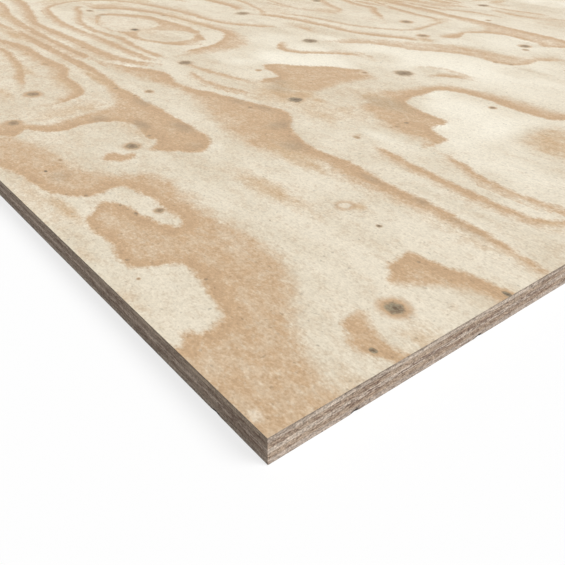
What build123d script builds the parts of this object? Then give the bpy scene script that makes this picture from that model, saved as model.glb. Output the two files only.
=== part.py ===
"""Softwood plywood sheet, 2440 x 1220 x 18 mm, five plies, lying flat.

The sheet is a balanced lay-up of five rotary-cut pine veneers, hot-pressed into one panel and
trimmed square on all four sides. The grain of the face, core and back veneers runs along the
sheet's length, and the grain of the two crossbands runs across it. Each ply is one solid that
meets its neighbours face to face at the glue line.

Frame, in millimetres: the origin is at the centre of the underside, +X runs across the sheet,
+Y along its length and face grain, and +Z up through its thickness.
"""

import os

from build123d import *

# Outline of the trimmed sheet
SHEET_LENGTH = 2440.0
SHEET_WIDTH = 1220.0

# Thickness of each kind of ply after pressing and sanding
FACE_PLY = 3.7
CROSSBAND_PLY = 3.7
CORE_PLY = 3.2
BACK_PLY = 3.7

# The lay-up from the underside upwards: node name and thickness
LAY_UP = (
    ("back_veneer", BACK_PLY),
    ("lower_crossband", CROSSBAND_PLY),
    ("core_veneer", CORE_PLY),
    ("upper_crossband", CROSSBAND_PLY),
    ("face_veneer", FACE_PLY),
)


def ply(thickness, underside):
    """One veneer, trimmed to the sheet's outline, with its lower face at the height underside."""
    veneer = Box(SHEET_WIDTH, SHEET_LENGTH, thickness, align=(Align.CENTER, Align.CENTER, Align.MIN))
    return veneer.moved(Location((0, 0, underside)))


def plywood_sheet():
    """The plies by node name, stacked from the underside up with no gap at the glue lines."""
    plies = {}
    underside = 0.0
    for name, thickness in LAY_UP:
        plies[name] = ply(thickness, underside)
        underside += thickness
    return plies


os.makedirs("parts", exist_ok=True)
for node, solid in plywood_sheet().items():
    export_step(solid, f"parts/{node}.step")
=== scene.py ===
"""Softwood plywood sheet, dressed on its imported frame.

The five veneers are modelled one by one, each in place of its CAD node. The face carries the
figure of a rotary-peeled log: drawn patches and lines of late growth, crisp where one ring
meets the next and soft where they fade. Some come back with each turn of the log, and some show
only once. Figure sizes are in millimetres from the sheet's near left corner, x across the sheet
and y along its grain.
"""

import logging
import math
from dataclasses import dataclass
from enum import Enum
from typing import Iterator, Sequence

import bmesh
import bpy
import numpy as np
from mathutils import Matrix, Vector


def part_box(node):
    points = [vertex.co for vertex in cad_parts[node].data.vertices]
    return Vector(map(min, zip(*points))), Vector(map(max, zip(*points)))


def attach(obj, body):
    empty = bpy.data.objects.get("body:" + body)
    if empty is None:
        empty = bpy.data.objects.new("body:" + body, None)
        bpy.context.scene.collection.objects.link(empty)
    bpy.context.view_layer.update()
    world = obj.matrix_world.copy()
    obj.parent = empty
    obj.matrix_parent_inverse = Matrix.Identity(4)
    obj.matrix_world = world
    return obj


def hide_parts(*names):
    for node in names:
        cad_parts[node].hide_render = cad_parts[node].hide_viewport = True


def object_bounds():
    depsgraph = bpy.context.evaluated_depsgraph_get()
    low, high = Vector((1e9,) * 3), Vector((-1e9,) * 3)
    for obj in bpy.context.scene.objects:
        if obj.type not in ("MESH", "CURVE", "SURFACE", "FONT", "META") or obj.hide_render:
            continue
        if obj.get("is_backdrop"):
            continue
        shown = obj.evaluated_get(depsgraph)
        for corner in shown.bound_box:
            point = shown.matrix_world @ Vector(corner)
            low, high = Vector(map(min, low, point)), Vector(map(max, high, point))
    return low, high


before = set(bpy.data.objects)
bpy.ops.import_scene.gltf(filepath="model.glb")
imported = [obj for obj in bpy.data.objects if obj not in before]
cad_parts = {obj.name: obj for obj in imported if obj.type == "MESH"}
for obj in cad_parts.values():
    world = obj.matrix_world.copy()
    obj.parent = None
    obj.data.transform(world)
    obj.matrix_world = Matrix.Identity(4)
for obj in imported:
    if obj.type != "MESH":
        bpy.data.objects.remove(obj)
cad_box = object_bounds()

LOG = logging.getLogger("plywood_sheet")
BODY = "root"
MM = 0.001
BAKE_MAP = "OFBake"
LEVEL = 0.7  # A face is level, not a wall, where its normal's z is past this

Point = tuple[float, float]
Triple = tuple[float, float, float]
Colour = Triple
WHITE: Colour = (1.0, 1.0, 1.0)


class Grain(Enum):
    """The way that a veneer's fibres run."""

    LENGTHWISE = "along the sheet"
    CROSSWISE = "across the sheet"


class Side(Enum):
    """The four trimmed sides of the sheet, as the axis that each faces and its sign."""

    NEAR_END = (1, -1)
    FAR_END = (1, 1)
    LEFT_EDGE = (0, -1)
    RIGHT_EDGE = (0, 1)


def smooth(value: np.ndarray) -> np.ndarray:
    """Eases an array from 0 to 1 between the values 0 and 1."""
    t = np.clip(value, 0.0, 1.0)
    return t * t * (3.0 - 2.0 * t)


def curve_through(points: Sequence[Point], closed: bool, steps: int = 4) -> np.ndarray:
    """Draws a smooth curve through given points.

    Args:
        points: The points that the curve passes through, in millimetres.
        closed: Whether the curve returns to its first point.
        steps: How many straight pieces stand for each stretch between two points.

    Returns:
        The curve's points, one row each, without the repeated end of a closed curve.
    """
    p = np.array(points, float)
    ends = (p[-1:], p[:2]) if closed else (2 * p[:1] - p[1:2], 2 * p[-1:] - p[-2:-1])
    q = np.vstack([ends[0], p, ends[1]])
    drawn = []
    for i in range(len(q) - 3):
        a, b, c, d = q[i:i + 4]
        for t in np.arange(steps) / steps:
            bend = (2 * a - 5 * b + 4 * c - d) * t * t + (3 * b - a - 3 * c + d) * t ** 3
            drawn.append(0.5 * (2 * b + (c - a) * t + bend))
    if not closed:
        drawn.append(p[-1])
    return np.array(drawn)


@dataclass
class Outline:
    """A closed shape on the peeled face, with crisp and soft stretches of edge.

    Attributes:
        points: The corners, in millimetres.
        soft: Whether the stretch that starts at each corner is soft.
        fade: How far inside a soft stretch the tone is full.
        tone: The full tone.
        once: Whether it shows only where it is drawn, not again in each turn of the log.
    """

    points: np.ndarray
    soft: np.ndarray
    fade: float
    tone: float
    once: bool

    def measure(self, at: np.ndarray) -> tuple[np.ndarray, np.ndarray]:
        """Measures points against the shape.

        Args:
            at: The points, one row each, in millimetres.

        Returns:
            Whether each point is inside, how far it is from the crisp edge, and the tone there.
        """
        tiny, far = 1e-9, 1000.0
        a = self.points
        run = np.roll(a, -1, axis=0) - a
        square = np.maximum((run ** 2).sum(1), tiny)
        away_x = at[:, :1] - a[:, 0]
        away_y = at[:, 1:] - a[:, 1]
        t = np.clip((away_x * run[:, 0] + away_y * run[:, 1]) / square, 0.0, 1.0)
        gap = np.hypot(away_x - t * run[:, 0], away_y - t * run[:, 1])
        rise = np.where(run[:, 1] == 0, tiny, run[:, 1])
        spans = (away_y >= 0) != (away_y - run[:, 1] >= 0)
        crossed = spans & (away_x < run[:, 0] * away_y / rise)
        inside = (crossed * np.sign(rise)).sum(1) != 0
        crisp = np.full(len(at), far)
        if not self.soft.all():
            crisp = gap[:, ~self.soft].min(1)
        tone = np.full(len(at), self.tone)
        if self.soft.any():
            tone = self.tone * smooth(gap[:, self.soft].min(1) / self.fade)
        return inside, crisp, tone


@dataclass(frozen=True)
class Latewood:
    """A patch of dense late growth.

    Attributes:
        crisp: The edge where it meets the next ring.
        soft: The rest of its edge, where it fades into its own ring.
        fade: The width of that fade, in millimetres.
        tone: How dark it is, from 0 to 1.
        once: Whether it shows only where it is drawn, not again in each turn of the log.
    """

    crisp: tuple[Point, ...]
    soft: tuple[Point, ...] = ()
    fade: float = 12.0
    tone: float = 1.0
    once: bool = False

    def outline(self) -> Outline:
        """Draws the patch.

        Returns:
            A smooth closed shape.
        """
        steps = 4
        points = curve_through(self.crisp + self.soft, closed=True, steps=steps)
        soft = np.zeros(len(points), bool)
        if self.soft:
            soft[(len(self.crisp) - 1) * steps:] = True
        return Outline(points, soft, self.fade, self.tone, self.once)


@dataclass(frozen=True)
class RingLine:
    """A thin line of late growth, crisp along its path and fading to one side of it.

    Attributes:
        path: The crisp edge.
        width: The full width of the line, in millimetres.
        tone: How dark it is, from 0 to 1.
        right: Whether it fades to the right of the path, seen from above, and not to the left.
        taper: How far from its ends the line has its full width.
        once: Whether it shows only where it is drawn, not again in each turn of the log.
    """

    path: tuple[Point, ...]
    width: float = 12.0
    tone: float = 0.7
    right: bool = False
    taper: float = 70.0
    once: bool = False

    def outline(self) -> Outline:
        """Draws the line.

        Returns:
            A closed shape with pointed ends.
        """
        tip, faded = 0.12, 0.8
        line = curve_through(self.path, closed=False)
        run = np.gradient(line, axis=0)
        run /= np.maximum(np.hypot(run[:, 0], run[:, 1]), 1e-9)[:, None]
        side = -1.0 if self.right else 1.0
        across = np.stack([-run[:, 1], run[:, 0]], 1) * side
        steps = np.hypot(*np.diff(line, axis=0).T)
        along = np.concatenate([[0.0], np.cumsum(steps)])
        full = np.minimum(along, along[-1] - along) / min(self.taper, along[-1] / 2)
        width = self.width * (tip + (1.0 - tip) * smooth(full))
        points = np.vstack([line, (line + across * width[:, None])[::-1]])
        soft = np.zeros(len(points), bool)
        soft[len(line) - 1:] = True
        return Outline(points, soft, faded * self.width, self.tone, self.once)


@dataclass(frozen=True)
class Blot:
    """A soft oval of tone: a faint wash of late growth, or a grey-brown stain.

    Attributes:
        x: Its middle across the sheet.
        y: Its middle along the sheet.
        across: Half its width.
        along: Half its length.
        tone: How dark its middle is, from 0 to 1; below 0 it is paler wood, down to -1.
        once: Whether it shows only where it is drawn, not again in each turn of the log.
    """

    x: float
    y: float
    across: float
    along: float
    tone: float
    once: bool = False


@dataclass(frozen=True)
class Knot:
    """A pin knot.

    Attributes:
        x: Its middle across the sheet.
        y: Its middle along the sheet.
        core: The half width of its dark core.
        halo: The half width of the dense wood around it.
        shade: How dark the core is, from 0 to 1.
        length: The core's length for its width.
        once: Whether it shows only where it is drawn, not again in each turn of the log.
        healed: Whether pale wood has closed over its core, so that only a ring shows.
    """

    x: float
    y: float
    core: float
    halo: float
    shade: float = 0.8
    length: float = 1.15
    once: bool = False
    healed: bool = False


PATCHES: tuple[Latewood, ...] = (
    # The near corner's patch, the band past the notch, and the long patch along the left edge
    Latewood(
        ((-20, 82), (3, 82), (11, 94), (20, 84), (30, 87), (38, 90), (42, 109), (48, 130), (50, 146),
         (45, 157), (33, 164), (21, 172), (18, 184), (24, 206), (22, 236), (26, 252), (38, 262),
         (49, 272), (56, 263), (61, 242), (63, 222), (70, 204), (77, 202), (80, 216), (80, 250),
         (76, 280), (66, 288), (55, 285), (43, 286), (30, 299), (20, 318), (18, 346), (13, 372),
         (0, 403), (-20, 427)),
        ((-20, 510), (8, 480), (40, 462), (58, 430), (66, 390), (70, 350), (76, 328), (92, 312),
         (112, 300), (118, 262), (113, 206), (116, 155), (114, 120), (101, 92), (81, 66), (67, 40),
         (59, 12), (54, -140), (-20, -140)),
        fade=20.0, tone=0.95, once=True),
    # The same patch a turn of the log later
    Latewood(
        ((694, 286), (684, 276), (672, 282), (658, 294), (640, 293), (622, 298), (611, 312),
         (609, 334), (611, 356), (603, 388), (588, 412), (573, 434), (566, 460), (556, 485),
         (545, 500), (530, 514), (512, 526)),
        ((505, 550), (535, 548), (565, 530), (590, 505), (612, 470), (632, 440), (648, 415),
         (655, 385), (660, 350), (670, 320), (690, 306), (700, 296)),
        fade=22.0, tone=0.8, once=True),
    # A crescent at the near end
    Latewood(
        ((96, -140), (90, -25), (84, 1), (78, 12), (77, 22), (81, 34), (87, 44), (94, 49)),
        ((103, 50), (108, 43), (106, 35), (102, 27), (98, 19), (98, 5), (104, -25), (110, -140)),
        fade=7.0, tone=0.88),
    # A wedge at the near end
    Latewood(
        ((192, -140), (190, -25), (189, 5), (185, 30), (181, 45), (178, 62), (176, 74), (165, 73),
         (154, 72), (147, 64), (139, 57), (135, 50)),
        ((140, 42), (150, 33), (162, 20), (167, 2), (168, -25), (170, -140)),
        fade=14.0),
    # The long rising band that opens into a wide patch
    Latewood(
        ((212, -140), (225, -5), (231, 20), (237, 50), (240, 80), (243, 105), (243, 160), (249, 200),
         (246, 240), (247, 262), (258, 298), (275, 320), (283, 330), (288, 350), (283, 370),
         (274, 400), (264, 440), (252, 480), (250, 500), (257, 520), (262, 540), (257, 562),
         (247, 583), (236, 604), (227, 630), (222, 660)),
        ((212, 655), (212, 620), (212, 580), (216, 540), (220, 520), (226, 500), (229, 480),
         (227, 460), (219, 420), (206, 380), (197, 340), (192, 310), (192, 280), (196, 255),
         (204, 240), (214, 224), (208, 205), (208, 180), (212, 150), (213, 110), (214, 70),
         (211, 20), (188, -140)),
        fade=25.0, once=True),
    # The patch with a bay in it, and the band that turns round the bay
    Latewood(
        ((327, 202), (324, 190), (345, 189), (357, 191), (360, 212), (372, 220), (388, 219),
         (396, 232), (397, 258), (403, 283), (417, 295), (440, 294), (463, 294), (476, 276),
         (480, 242), (475, 200), (478, 165), (492, 140), (506, 60), (505, -140)),
        ((533, -140), (532, 60), (514, 152), (512, 200), (509, 250), (500, 294), (482, 316),
         (452, 325), (430, 332), (408, 345), (386, 325), (352, 322), (338, 286), (324, 240)),
        fade=21.0),
    # The lobe beyond it
    Latewood(
        ((457, 392), (456, 406), (444, 422), (436, 440), (416, 457), (403, 474), (390, 491),
         (376, 499), (366, 484), (359, 448), (344, 449), (333, 449), (321, 436)),
        ((318, 412), (322, 392), (334, 376), (350, 366), (400, 370), (430, 364), (452, 364)),
        fade=20.0, once=True),
    # The long blunt patch that narrows to a ring line
    Latewood(
        ((202, 880), (203, 820), (203, 760), (202, 700), (203, 640), (199, 580), (193, 530),
         (191, 480), (190, 400), (187, 342), (182, 325), (175, 315), (162, 308), (155, 312),
         (147, 320), (138, 330), (128, 341), (138, 350), (146, 358), (140, 366), (143, 385),
         (146, 402), (142, 420), (130, 432), (110, 438), (85, 433), (70, 444), (60, 460), (50, 452),
         (42, 450), (33, 462), (14, 474)),
        ((24, 500), (48, 500), (62, 488), (80, 472), (105, 472), (130, 476), (150, 480), (158, 492),
         (166, 520), (174, 550), (180, 600), (181, 700), (181, 790), (182, 880)),
        fade=17.0, once=True),
    # The same patch a turn of the log later
    Latewood(
        ((797, 720), (797, 660), (796, 600), (791, 540), (792, 480), (788, 440), (786, 400),
         (784, 360), (778, 325), (765, 305), (752, 303), (742, 314), (730, 326), (727, 336),
         (736, 348), (738, 375), (741, 392), (738, 412), (730, 428), (722, 438), (710, 448),
         (698, 446), (686, 440), (676, 438), (664, 445), (655, 458)),
        ((656, 465), (668, 468), (690, 465), (708, 464), (722, 459), (738, 451), (750, 456),
         (758, 480), (763, 520), (768, 560), (771, 620), (772, 720)),
        fade=15.0, tone=0.95, once=True),
    # The crescent below its tip
    Latewood(((113, 342), (108, 334), (100, 332), (92, 336), (86, 345), (88, 353), (94, 356),
              (100, 352), (103, 345), (110, 344)), tone=0.9, once=True),
    # The ring round the twin islands
    Latewood(
        (),
        ((381, 641), (397, 676), (408, 706), (412, 745), (408, 785), (405, 825), (396, 852),
         (384, 872), (368, 892), (348, 904), (330, 886), (318, 862), (309, 832), (308, 800),
         (311, 778), (314, 752), (310, 722), (320, 690), (336, 656), (359, 634)),
        fade=20.0, tone=0.9),
    # The next ring out, from its blunt near side along the top to the far tip
    Latewood(
        ((322, 612), (340, 618), (365, 620), (385, 625), (402, 635), (418, 650), (430, 668),
         (433, 692), (430, 725), (427, 775), (423, 820), (417, 855), (407, 880), (390, 915),
         (375, 932), (361, 943), (350, 972)),
        ((360, 998), (395, 985), (412, 962), (424, 930), (434, 900), (443, 870), (450, 830),
         (455, 780), (460, 720), (462, 690), (458, 655), (448, 620), (430, 590), (400, 575),
         (365, 575), (330, 585), (312, 600)),
        fade=24.0, tone=0.95),
)

ISLANDS: tuple[Latewood, ...] = (
    Latewood(((395, 699), (384, 675), (365, 666), (343, 673), (328, 694), (322, 716), (328, 738),
              (344, 756), (353, 756), (363, 744), (382, 727))),
    Latewood(((388, 795), (380, 770), (360, 764), (334, 762), (316, 774), (312, 800), (312, 824),
              (321, 848), (340, 884), (350, 888), (369, 861), (384, 826))),
)

LINES: tuple[RingLine, ...] = (
    # The short lines in the bay and past it
    RingLine(((328, 4), (314, 18), (300, 31), (288, 44), (283, 60), (283, 100), (287, 150),
              (291, 190), (295, 235)), width=22.0, tone=0.85, taper=35.0),
    RingLine(((320, 20), (314, 48), (311, 72), (311, 100), (315, 122), (322, 140), (327, 160),
              (328, 182)), width=18.0, tone=0.8, taper=25.0),
    RingLine(((324, 432), (319, 465), (313, 500), (306, 545), (304, 575)), width=15.0, tone=0.75,
             taper=35.0),
    RingLine(((302, 390), (296, 420), (287, 455), (284, 490), (288, 520), (294, 548)), width=17.0,
             tone=0.75, taper=40.0),
    # The small curls round the knots further across
    RingLine(((526, 283), (521, 306), (510, 324), (496, 338), (489, 345)), width=20.0, tone=0.8,
             right=True, taper=25.0),
    RingLine(((529, 288), (537, 312), (541, 335), (538, 354), (526, 369), (508, 374)), width=16.0,
             tone=0.55, taper=30.0),
    RingLine(((494, 412), (502, 430), (509, 450), (508, 475), (501, 492), (494, 485)), width=10.0,
             tone=0.5, taper=15.0),
    RingLine(((500, 440), (493, 458), (480, 478), (462, 496), (446, 512), (437, 530), (437, 545),
              (445, 562), (459, 574), (478, 578)), width=22.0, tone=1.0, right=True, taper=25.0,
             once=True),
    # The lines that pass below the twin islands, from the nearest down
    RingLine(((298, 600), (297, 640), (297, 680), (303, 732), (300, 760), (295, 792), (296, 830),
              (303, 868), (313, 898), (323, 918), (333, 940), (338, 962), (347, 976), (362, 986)),
             width=18.0, tone=0.8, taper=16.0),
    RingLine(((287, 590), (281, 620), (278, 680), (280, 740), (277, 800), (276, 845), (277, 880),
              (284, 925), (293, 970), (302, 1000), (320, 1016), (341, 1025), (362, 1026),
              (385, 1014), (410, 992), (426, 962), (437, 932), (446, 890), (453, 850), (457, 800),
              (458, 760), (463, 728), (474, 700), (489, 678), (504, 658), (524, 644)), width=23.0,
             tone=0.85, taper=30.0),
    RingLine(((279, 570), (272, 590), (260, 612), (251, 648), (248, 700), (249, 760), (246, 805),
              (246, 850), (245, 900), (255, 938), (263, 968), (274, 1010), (283, 1050), (290, 1090),
              (292, 1170)), width=32.0, tone=0.9, taper=30.0),
    RingLine(((224, 650), (222, 700), (222, 760), (221, 800), (224, 860), (226, 905), (229, 950),
              (235, 998), (246, 1038), (254, 1085), (262, 1170)), width=32.0, tone=0.9,
             taper=20.0),
    RingLine(((201, 860), (197, 940), (190, 1010), (184, 1090), (182, 1170)), width=22.0,
             tone=0.85, taper=20.0, once=True),
    RingLine(((80, 507), (102, 510), (120, 514), (134, 519), (147, 527), (156, 540), (160, 562),
              (162, 598), (171, 618), (179, 643), (176, 680), (175, 720), (178, 765), (172, 800),
              (163, 835), (154, 890), (144, 960), (137, 1050), (134, 1170)), width=34.0, tone=0.95,
             taper=60.0, once=True),
    RingLine(((96, 509), (66, 505), (50, 520), (40, 541), (29, 568), (14, 606), (4, 650), (-2, 700),
              (-4, 740)), width=9.0, tone=0.6, right=True, once=True),
    RingLine(((98, 570), (112, 605), (121, 630), (132, 660), (140, 690), (143, 720), (149, 750),
              (148, 780), (140, 830), (122, 895), (106, 965), (99, 1060), (98, 1170)), width=20.0,
             tone=0.95, once=True),
    RingLine(((62, 640), (84, 668), (98, 705), (112, 752)), width=12.0, tone=0.5, once=True),
    # The lines across the second turn, nearest first
    RingLine(((639, 446), (627, 446), (618, 462), (606, 488), (594, 512), (583, 537), (576, 560),
              (574, 600), (570, 635), (566, 668), (558, 702), (547, 732), (536, 750)), width=26.0,
             tone=0.95, right=True, taper=14.0, once=True),
    RingLine(((750, 526), (744, 519), (730, 514), (715, 511), (690, 508), (668, 506), (654, 511),
              (640, 525), (626, 546), (614, 574), (606, 600), (602, 630), (597, 668), (586, 702),
              (570, 738)), width=14.0, tone=0.8, right=True, taper=10.0, once=True),
    RingLine(((534, 568), (537, 615), (541, 676)), width=24.0, tone=0.6, right=True, once=True),
    RingLine(((532, 782), (541, 797), (547, 818), (546, 862), (545, 930), (554, 1020),
              (560, 1170)), width=27.0, tone=0.95, right=True, taper=20.0, once=True),
    RingLine(((545, 742), (558, 750), (566, 765), (572, 782), (575, 800), (584, 835), (587, 900),
              (593, 980), (603, 1070), (604, 1170)), width=14.0, tone=0.9, right=True, taper=20.0,
             once=True),
    RingLine(((741, 517), (750, 527), (752, 550), (752, 580), (756, 605), (760, 638), (768, 668),
              (776, 700), (774, 750), (766, 800), (757, 870), (745, 950), (735, 1050),
              (730, 1170)), width=17.0, tone=0.9, taper=12.0, once=True),
    RingLine(((655, 566), (668, 578), (681, 590), (694, 604), (706, 622), (716, 638), (728, 650),
              (737, 663), (736, 682), (734, 700), (744, 745), (748, 800), (738, 870), (715, 960),
              (700, 1050), (695, 1170)), width=18.0, tone=0.9, taper=80.0, once=True),
    RingLine(((622, 830), (616, 800), (615, 775), (620, 745), (628, 715), (637, 692), (648, 678),
              (662, 674), (676, 680), (686, 697), (692, 716), (698, 735), (707, 757), (716, 790),
              (700, 860), (672, 940), (660, 1050), (655, 1170)), width=22.0, tone=0.7, once=True),
    RingLine(((748, 650), (757, 666), (757, 700), (752, 740)), width=15.0, tone=0.75, taper=30.0,
             once=True),
    RingLine(((797, 700), (796, 760), (795, 830), (790, 940), (782, 1050), (778, 1170)),
             width=22.0, tone=0.85, once=True),
    RingLine(((812, -140), (822, 60), (834, 140), (842, 220), (858, 300), (876, 345), (888, 380),
              (885, 412), (873, 438), (864, 468), (866, 500), (874, 545)), width=20.0, tone=0.8,
             right=True, taper=40.0, once=True),
    RingLine(((840, 466), (841, 500), (840, 525), (834, 550), (825, 572), (818, 590), (814, 625),
              (811, 670), (802, 720)), width=15.0, tone=0.8, taper=35.0, once=True),
    RingLine(((870, 545), (857, 565), (849, 590), (842, 615), (835, 640), (826, 672), (818, 720)),
             width=18.0, tone=0.75, right=True, taper=35.0, once=True),
    # The lines beyond, to the turnabout
    RingLine(((520, 870), (503, 930), (493, 1000), (488, 1080), (488, 1170)), width=17.0, tone=0.7,
             right=True),
    RingLine(((457, 975), (446, 1030), (440, 1090), (438, 1170)), width=18.0, tone=0.75,
             right=True),
    RingLine(((318, 1050), (345, 1066), (370, 1085), (384, 1120), (385, 1170)), width=16.0,
             tone=0.7),
    RingLine(((47, 702), (38, 735), (33, 780), (38, 830), (50, 890), (57, 950), (58, 1040),
              (55, 1170)), width=18.0, tone=0.6, right=True),
)

WASHES: tuple[Blot, ...] = tuple(Blot(*row) for row in (
    (160, 222, 11, 40, 0.6), (112, 6, 14, 14, 0.5), (300, 251, 5, 4, 0.5), (21, 277, 6, 24, 0.6),
    (10, 236, 9, 34, 0.3), (4, 137, 9, 20, 0.35), (196, 143, 6, 6, 1.0), (308, 308, 8, 26, 0.25),
    (338, 376, 14, 12, 0.5), (331, 548, 9, 14, 0.45), (300, 395, 24, 24, 0.25),
    (390, 350, 30, 26, 0.2), (346, 300, 16, 26, 0.3), (410, 590, 34, 24, 0.35),
    (472, 345, 8, 8, 0.5), (518, 332, 14, 32, 0.5), (497, 432, 7, 18, 0.45),
    (472, 845, 9, 34, 0.35), (110, 500, 50, 22, 0.25), (352, 790, 40, 110, 0.2),
    (60, 860, 80, 200, 0.15), (404, 948, 28, 28, 0.4), (325, 1052, 34, 26, 0.6),
    (374, 1030, 14, 12, 0.5),
    # Paler wood
    (432, 240, 34, 50, -0.8), (545, 400, 60, 120, -0.7), (570, 250, 70, 110, -0.5),
    (408, 508, 28, 46, -1.0), (345, 130, 30, 60, -0.5), (442, 455, 30, 40, -0.8),
))

TINTS: tuple[Blot, ...] = tuple(Blot(*row, once=True) for row in (
    # Late growth, from the near end on
    (56, 2, 9, 20, 0.4), (284, 33, 8, 12, 0.6), (222, 62, 8, 50, 0.45), (413, 118, 27, 26, 0.8),
    (440, 140, 26, 18, 0.6), (160, 190, 8, 50, 0.25), (170, 192, 9, 34, 0.3), (3, 205, 7, 14, 0.7),
    (46, 230, 8, 20, 0.4), (24, 235, 6, 56, 0.5), (218, 240, 10, 38, 0.9), (42, 279, 8, 9, 0.5),
    (586, 280, 14, 30, 0.3), (390, 302, 17, 40, 0.85), (6, 310, 22, 66, 0.85),
    (500, 338, 7, 12, 0.5), (316, 345, 26, 96, 0.45), (726, 347, 10, 22, 0.45),
    (339, 351, 6, 9, 0.5), (512, 358, 18, 16, 0.4), (640, 380, 18, 60, 0.2), (60, 400, 30, 76, 0.2),
    (328, 400, 20, 40, 0.48), (140, 402, 8, 40, 0.5), (852, 410, 8, 22, 0.3),
    (356, 418, 14, 14, 0.4), (515, 430, 20, 30, 0.45), (735, 458, 20, 13, 0.5),
    (630, 459, 11, 16, 1.0), (118, 480, 42, 14, 0.5), (894, 480, 7, 60, 0.35),
    (995, 495, 20, 26, 0.7), (745, 528, 20, 15, 0.7), (560, 535, 24, 22, 0.1),
    (188, 545, 7, 70, 0.5), (938, 564, 20, 10, 0.9), (148, 570, 8, 40, 0.4), (186, 572, 6, 44, 0.8),
    (80, 585, 8, 26, 0.6), (662, 590, 14, 34, 0.4), (545, 620, 14, 60, 0.2),
    (865, 635, 18, 30, 0.4), (133, 665, 6, 34, 0.6), (790, 690, 22, 20, 0.4),
    (655, 694, 18, 24, 0.6), (775, 700, 16, 44, 0.4), (582, 748, 24, 40, 0.4),
    (350, 752, 14, 20, 0.4), (130, 780, 100, 240, 0.2), (432, 785, 15, 60, 0.7),
    (187, 850, 9, 44, 0.9), (319, 866, 9, 34, 0.5), (449, 956, 15, 30, 0.75),
    (226, 972, 9, 46, 0.4), (220, 985, 11, 30, 0.7), (366, 985, 12, 36, 0.5),
    (308, 1016, 11, 24, 0.25),
    # Paler wood, from the near end on
    (5, 15, 3.5, 5, -1.3), (320, 70, 40, 30, -0.3), (70, 86, 8, 22, -0.35),
    (113, 88, 22, 30, -0.15), (52, 90, 13, 22, -0.22), (190, 104, 22, 22, -0.15),
    (268, 105, 12, 60, -0.4), (84, 112, 7, 12, -0.4), (388, 122, 12, 26, -0.5),
    (311, 145, 20, 24, -0.2), (90, 154, 12, 28, -0.4), (440, 172, 50, 24, -0.5),
    (385, 190, 45, 34, -0.6), (312, 215, 14, 40, -0.5), (378, 222, 12, 12, -0.7),
    (112, 235, 28, 44, -0.35), (312, 260, 10, 34, -0.4), (640, 270, 30, 30, -0.2),
    (455, 288, 18, 16, -0.6), (165, 300, 12, 34, -0.3), (180, 315, 8, 16, -0.4),
    (98, 345, 22, 40, -0.4), (745, 345, 26, 30, -0.5), (228, 360, 10, 24, -0.6),
    (640, 360, 50, 90, -0.25), (720, 370, 60, 80, -0.55), (650, 430, 24, 30, -0.4),
    (36, 437, 11, 18, -0.5), (780, 452, 30, 40, -0.35), (600, 462, 14, 40, -0.4),
    (712, 482, 50, 26, -0.5), (540, 490, 50, 40, -0.15), (800, 500, 22, 22, -0.5),
    (465, 515, 28, 40, -0.6), (364, 520, 18, 22, -0.4), (352, 548, 24, 30, -0.4),
    (530, 548, 18, 30, -0.5), (250, 570, 30, 50, -0.25), (620, 590, 60, 60, -0.25),
    (440, 592, 46, 46, -0.5), (240, 612, 12, 36, -0.6), (480, 650, 18, 66, -0.3),
    (205, 680, 15, 50, -0.4), (501, 690, 9, 26, -0.45), (235, 800, 38, 130, -0.35),
    (222, 912, 9, 30, -0.5), (300, 1085, 14, 30, -0.25),
))

STAINS: tuple[Blot, ...] = tuple(Blot(*row, once=True) for row in (
    (231, 62, 4, 16, 0.25), (235, 83, 3, 7, 0.4), (239, 119, 4, 8, 0.55), (239, 173, 4, 11, 0.5),
    (234, 268, 10, 14, 0.5), (386, 298, 15, 34, 0.4), (258, 318, 14, 10, 0.5),
    (165, 323, 8, 8, 0.3), (42, 336, 10, 10, 0.3), (276, 366, 6, 16, 0.3), (180, 372, 8, 18, 0.5),
    (152, 402, 7, 15, 0.6), (268, 402, 7, 12, 0.4), (330, 410, 12, 18, 0.35),
    (346, 430, 12, 14, 0.3), (128, 444, 9, 9, 0.45), (786, 460, 8, 12, 0.3),
    (186, 463, 7, 13, 0.45), (345, 893, 8, 8, 0.45), (365, 932, 9, 12, 0.3),
))

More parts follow.
